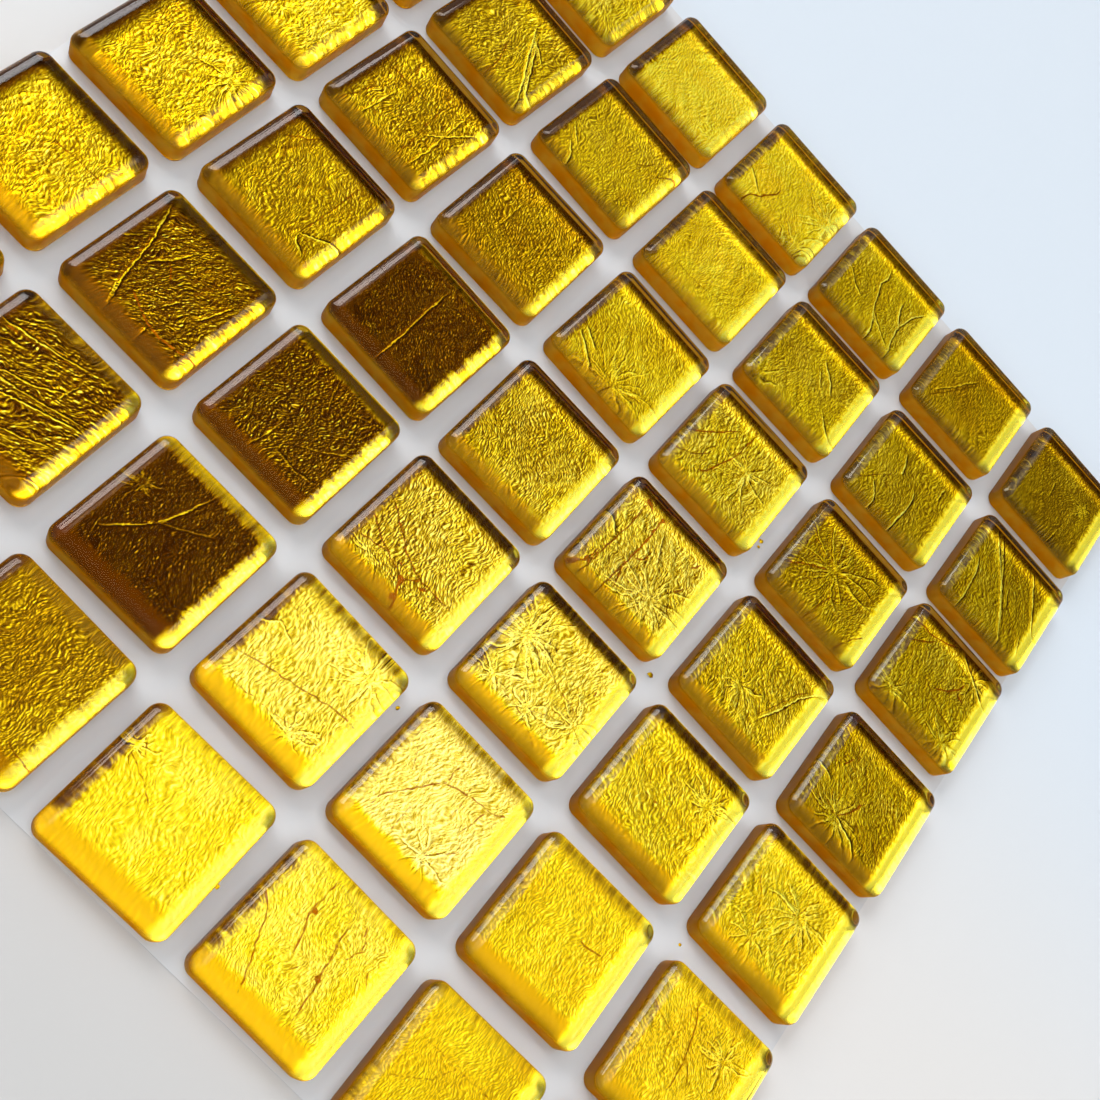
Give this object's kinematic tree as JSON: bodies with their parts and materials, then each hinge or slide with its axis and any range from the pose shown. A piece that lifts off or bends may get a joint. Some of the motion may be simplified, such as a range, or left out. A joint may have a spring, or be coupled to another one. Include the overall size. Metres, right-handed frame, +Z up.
{
  "type": "mosaic tile sheet",
  "caption": "Square mosaic sheet of clear glass chips over crinkled gold foil, held at even joints on a thin clear backing film.",
  "frame": {"origin": "centre of the backing film's underside", "axes": "+Z up through the glass, +X along a row of chips, +Y from row a to row g"},
  "size_m": [0.1624, 0.1624, 0.0043],
  "materials": {
    "glass": "gloss",
    "gold_foil": "crinkled leaf",
    "clear_film": "gloss"
  },
  "bodies": {
    "root": {"backing_film": "clear_film", "foil_row_a": "gold_foil", "foil_row_b": "gold_foil", "foil_row_c": "gold_foil", "foil_row_d": "gold_foil", "foil_row_e": "gold_foil", "foil_row_f": "gold_foil", "foil_row_g": "gold_foil", "glass_chip_a1": "glass", "glass_chip_a2": "glass", "glass_chip_a3": "glass", "glass_chip_a4": "glass", "glass_chip_a5": "glass", "glass_chip_a6": "glass", "glass_chip_a7": "glass", "glass_chip_b1": "glass", "glass_chip_b2": "glass", "glass_chip_b3": "glass", "glass_chip_b4": "glass", "glass_chip_b5": "glass", "glass_chip_b6": "glass", "glass_chip_b7": "glass", "glass_chip_c1": "glass", "glass_chip_c2": "glass", "glass_chip_c3": "glass", "glass_chip_c4": "glass", "glass_chip_c5": "glass", "glass_chip_c6": "glass", "glass_chip_c7": "glass", "glass_chip_d1": "glass", "glass_chip_d2": "glass", "glass_chip_d3": "glass", "glass_chip_d4": "glass", "glass_chip_d5": "glass", "glass_chip_d6": "glass", "glass_chip_d7": "glass", "glass_chip_e1": "glass", "glass_chip_e2": "glass", "glass_chip_e3": "glass", "glass_chip_e4": "glass", "glass_chip_e5": "glass", "glass_chip_e6": "glass", "glass_chip_e7": "glass", "glass_chip_f1": "glass", "glass_chip_f2": "glass", "glass_chip_f3": "glass", "glass_chip_f4": "glass", "glass_chip_f5": "glass", "glass_chip_f6": "glass", "glass_chip_f7": "glass", "glass_chip_g1": "glass", "glass_chip_g2": "glass", "glass_chip_g3": "glass", "glass_chip_g4": "glass", "glass_chip_g5": "glass", "glass_chip_g6": "glass", "glass_chip_g7": "glass"}
  },
  "joints": []
}
